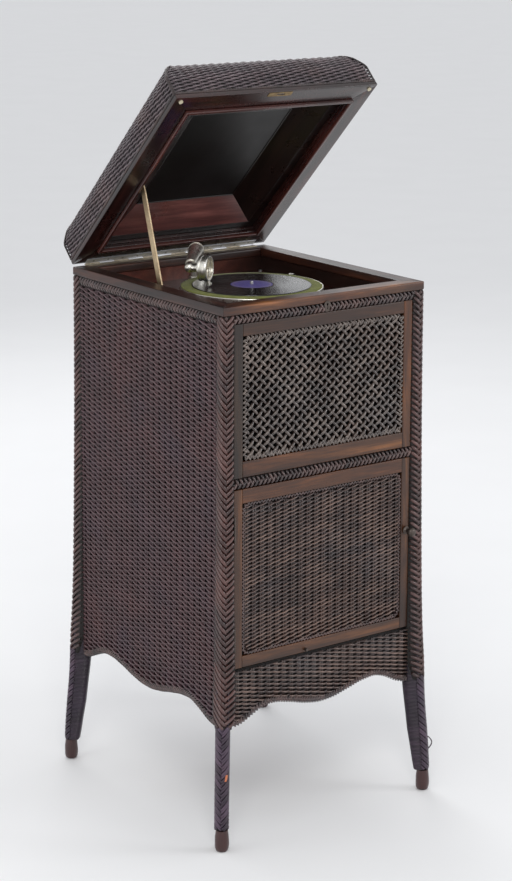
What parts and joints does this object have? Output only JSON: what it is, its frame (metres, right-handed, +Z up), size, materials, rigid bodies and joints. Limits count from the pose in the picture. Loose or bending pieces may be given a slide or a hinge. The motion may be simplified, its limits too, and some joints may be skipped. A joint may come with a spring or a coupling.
{
  "type": "floor-standing gramophone",
  "caption": "Wind-up gramophone in a woven floor cabinet: lid on a sliding stay, turntable with record, tone arm, horn behind a lattice grille, record cupboard with a door, side crank.",
  "frame": {"origin": "On the floor, under the middle of the outline of the whole object with the lid open and the crank hanging down.", "axes": "+Z up, the front with grille and door faces -Y, the crank is on the +X side, the lid is hinged at the +Y side."},
  "size_m": [0.6334, 0.6497, 1.574],
  "materials": {
    "legs_wood": "dark wicker-wrapped wood, satin",
    "tip_wood": "reddish brown, varnished",
    "rim_wood": "dark brown, worn varnish",
    "inner_wood": "dark red-brown, satin",
    "honey_wood": "honey brown, worn varnish",
    "wicker": "grey-brown woven paper cord, matte",
    "grille_cord": "grey-brown twisted cord, matte",
    "black_cloth": "black, matte",
    "horn_wood": "plain softwood",
    "black_iron": "black enamel",
    "board_wood": "red-brown, polished",
    "steel": "bright steel",
    "grey_iron": "grey, as cast",
    "nickel": "aged nickel plate",
    "dark_steel": "darkened",
    "brass": "plain",
    "aged_brass": "dull, tan",
    "felt": "olive felt",
    "shellac": "black, glossy",
    "blue_steel": "blued spring steel",
    "mica": "clear mica",
    "grip_wood": "turned, varnished",
    "lid_wood": "dark brown, worn varnish",
    "rubber_buff": "buff"
  },
  "bodies": {
    "cabinet": {"corner_posts": "legs_wood", "foot_tips": "tip_wood", "rim_frame": "rim_wood", "carcass_walls": "inner_wood", "shelves": "inner_wood", "front_rails": "legs_wood", "wicker_left": "wicker", "wicker_right": "wicker", "wicker_back": "wicker", "wicker_apron": "wicker", "grille_frame": "honey_wood", "grille_lattice": "grille_cord", "grille_cloth": "black_cloth", "horn": "horn_wood", "horn_elbow": "black_iron", "motor_board": "board_wood", "board_screws": "steel", "motor_frame": "grey_iron", "crank_escutcheon": "nickel", "tonearm_base": "nickel", "speed_dial": "nickel", "door_hinge_case": "dark_steel", "lid_hinge_case": "aged_brass", "stay_bracket": "aged_brass", "lock_escutcheon": "aged_brass"},
    "platter": {"turntable": "nickel", "turntable_felt": "felt", "record": "shellac", "spindle": "steel"},
    "governor": {"governor": "brass"},
    "intermediate": {"intermediate_shaft": "steel"},
    "barrel": {"spring_barrel": "grey_iron", "mainspring": "blue_steel"},
    "arbor": {"barrel_arbor": "steel"},
    "crank": {"crank_shaft": "steel", "crank_arm": "nickel"},
    "grip": {"crank_grip": "grip_wood"},
    "tonearm": {"tonearm_tube": "nickel"},
    "soundbox": {"soundbox": "nickel", "diaphragm": "mica", "needle_chuck": "nickel", "needle": "steel", "needle_screw": "nickel"},
    "brake": {"brake_lever": "nickel"},
    "speed": {"speed_lever": "nickel"},
    "door": {"door_frame": "honey_wood", "door_wicker": "wicker", "door_hinge_leaves": "dark_steel", "door_peg": "dark_steel"},
    "knob": {"door_knob": "nickel"},
    "lid": {"lid_frame": "lid_wood", "lid_shell": "wicker", "lid_lining": "inner_wood", "lid_moulding": "board_wood", "lid_bumpers": "rubber_buff", "strike_plate": "brass", "lid_hinge_leaf": "nickel", "lid_hinge_screws": "steel", "stay_track": "aged_brass"},
    "stay": {"stay_bar": "aged_brass"}
  },
  "joints": [
    {"name": "lid_hinge", "type": "hinge", "parent": "cabinet", "child": "lid", "pos_m": [-0.03475, 0.27051, 1.1215], "axis": [-1, 0, 0], "range_deg": [-44.3, 0]},
    {"name": "stay_swing", "type": "hinge", "parent": "cabinet", "child": "stay", "pos_m": [-0.23075, 0.01701, 1.106], "axis": [1, 0, 0], "range_deg": [0, 102.5]},
    {"name": "door_hinge", "type": "hinge", "parent": "cabinet", "child": "door", "pos_m": [-0.26355, -0.29739, 0.552], "axis": [0, 0, -1], "range_deg": [0, 120]},
    {"name": "knob_turn", "type": "hinge", "parent": "door", "child": "knob", "pos_m": [0.18225, -0.29499, 0.588], "axis": [0, 1, 0], "range_deg": [0, 90]},
    {"name": "turntable_spin", "type": "hinge", "parent": "cabinet", "child": "platter", "pos_m": [-0.03475, -0.03499, 1.09], "axis": [0, 0, -1], "continuous": true},
    {"name": "governor_spin", "type": "hinge", "parent": "cabinet", "child": "governor", "pos_m": [-0.03475, -0.05729, 0.975], "axis": [1, 0, 0], "continuous": true},
    {"name": "intermediate_spin", "type": "hinge", "parent": "cabinet", "child": "intermediate", "pos_m": [-0.03475, -0.01199, 1], "axis": [1, 0, 0], "continuous": true},
    {"name": "barrel_spin", "type": "hinge", "parent": "cabinet", "child": "barrel", "pos_m": [-0.03475, 0.04201, 1], "axis": [1, 0, 0], "continuous": true},
    {"name": "crank_turn", "type": "hinge", "parent": "cabinet", "child": "crank", "pos_m": [0.22125, 0.09001, 1], "axis": [-1, 0, 0], "continuous": true},
    {"name": "arbor_turn", "type": "hinge", "parent": "cabinet", "child": "arbor", "pos_m": [-0.03475, 0.04201, 1], "axis": [-1, 0, 0], "continuous": true},
    {"name": "grip_spin", "type": "hinge", "parent": "crank", "child": "grip", "pos_m": [0.28525, 0.09001, 0.9], "axis": [1, 0, 0], "continuous": true},
    {"name": "arm_swing", "type": "hinge", "parent": "cabinet", "child": "tonearm", "pos_m": [-0.04675, 0.15201, 1.09], "axis": [0, 0, 1], "range_deg": [-9, 18]},
    {"name": "soundbox_lift", "type": "hinge", "parent": "tonearm", "child": "soundbox", "pos_m": [-0.13374, 0.04649, 1.14434], "axis": [-0.6348, -0.7701, -0.0638], "range_deg": [0, 100]},
    {"name": "brake_turn", "type": "hinge", "parent": "cabinet", "child": "brake", "pos_m": [0.14125, 0.05301, 1.072], "axis": [0, 0, -1], "range_deg": [0, 12]},
    {"name": "speed_turn", "type": "hinge", "parent": "cabinet", "child": "speed", "pos_m": [0.13525, -0.20899, 1.072], "axis": [0, 0, 1], "range_deg": [-40, 40]}
  ],
  "couplings": [
    {"joint": "stay_swing", "follows": "lid_hinge", "ratio": -2.312},
    {"joint": "governor_spin", "follows": "turntable_spin", "ratio": 34},
    {"joint": "intermediate_spin", "follows": "turntable_spin", "ratio": 0.61538},
    {"joint": "barrel_spin", "follows": "turntable_spin", "ratio": -0.12308},
    {"joint": "arbor_turn", "follows": "crank_turn", "ratio": -0.5}
  ]
}
